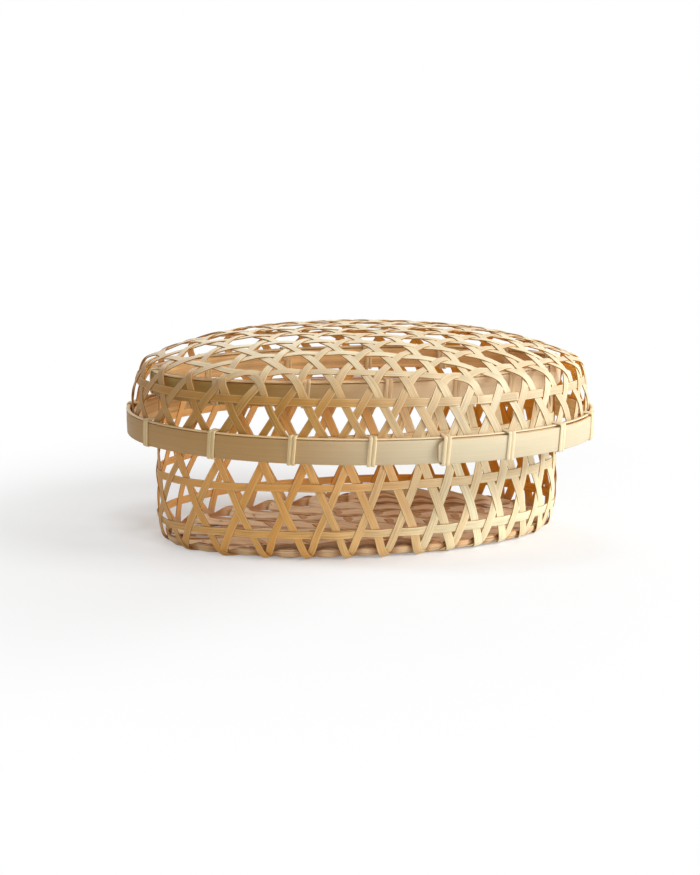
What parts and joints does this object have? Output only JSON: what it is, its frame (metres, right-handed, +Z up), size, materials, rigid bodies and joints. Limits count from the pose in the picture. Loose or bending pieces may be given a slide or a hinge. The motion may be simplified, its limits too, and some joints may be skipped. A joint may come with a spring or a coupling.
{
  "type": "woven lidded box",
  "caption": "Oval open-weave bamboo box with a shallow domed lift-off lid, lashed rim hoops and a strip mat floor, for keeping small things.",
  "frame": {"origin": "on the table under the middle of the box", "axes": "+X along the box's length to the right as seen from the front, +Y to the back, +Z up"},
  "size_m": [0.2116, 0.1477, 0.0944],
  "materials": {
    "bamboo_skin": "satin split bamboo, skin side out",
    "bamboo_core": "matte split bamboo, inner side",
    "cane": "satin cane binding",
    "mat": "matte fibrous strips"
  },
  "bodies": {
    "base": {"base_mat_strip_01": "mat", "base_mat_strip_02": "mat", "base_mat_strip_03": "mat", "base_mat_strip_04": "mat", "base_mat_strip_05": "mat", "base_mat_strip_06": "mat", "base_mat_strip_07": "mat", "base_mat_strip_08": "mat", "base_mat_strip_09": "mat", "base_rim_cap_strip": "bamboo_core", "base_rim_inner_hoop": "bamboo_core", "base_rim_lashing_01": "cane", "base_rim_lashing_02": "cane", "base_rim_lashing_03": "cane", "base_rim_lashing_04": "cane", "base_rim_lashing_05": "cane", "base_rim_lashing_06": "cane", "base_rim_lashing_07": "cane", "base_rim_lashing_08": "cane", "base_rim_lashing_09": "cane", "base_rim_lashing_10": "cane", "base_rim_lashing_11": "cane", "base_rim_lashing_12": "cane", "base_rim_lashing_13": "cane", "base_rim_outer_hoop": "bamboo_skin", "base_weave": "bamboo_skin"},
    "lid": {"lid_rim_cap_strip": "bamboo_core", "lid_rim_inner_hoop": "bamboo_core", "lid_rim_lashing_01": "cane", "lid_rim_lashing_02": "cane", "lid_rim_lashing_03": "cane", "lid_rim_lashing_04": "cane", "lid_rim_lashing_05": "cane", "lid_rim_lashing_06": "cane", "lid_rim_lashing_07": "cane", "lid_rim_lashing_08": "cane", "lid_rim_lashing_09": "cane", "lid_rim_lashing_10": "cane", "lid_rim_lashing_11": "cane", "lid_rim_lashing_12": "cane", "lid_rim_lashing_13": "cane", "lid_rim_lashing_14": "cane", "lid_rim_lashing_15": "cane", "lid_rim_lashing_16": "cane", "lid_rim_outer_hoop": "bamboo_skin", "lid_weave": "bamboo_skin"}
  },
  "joints": [
    {"name": "lid_lift", "type": "slide", "parent": "base", "child": "lid", "axis": [0, 0, 1], "range_m": [0, 0.09]}
  ]
}
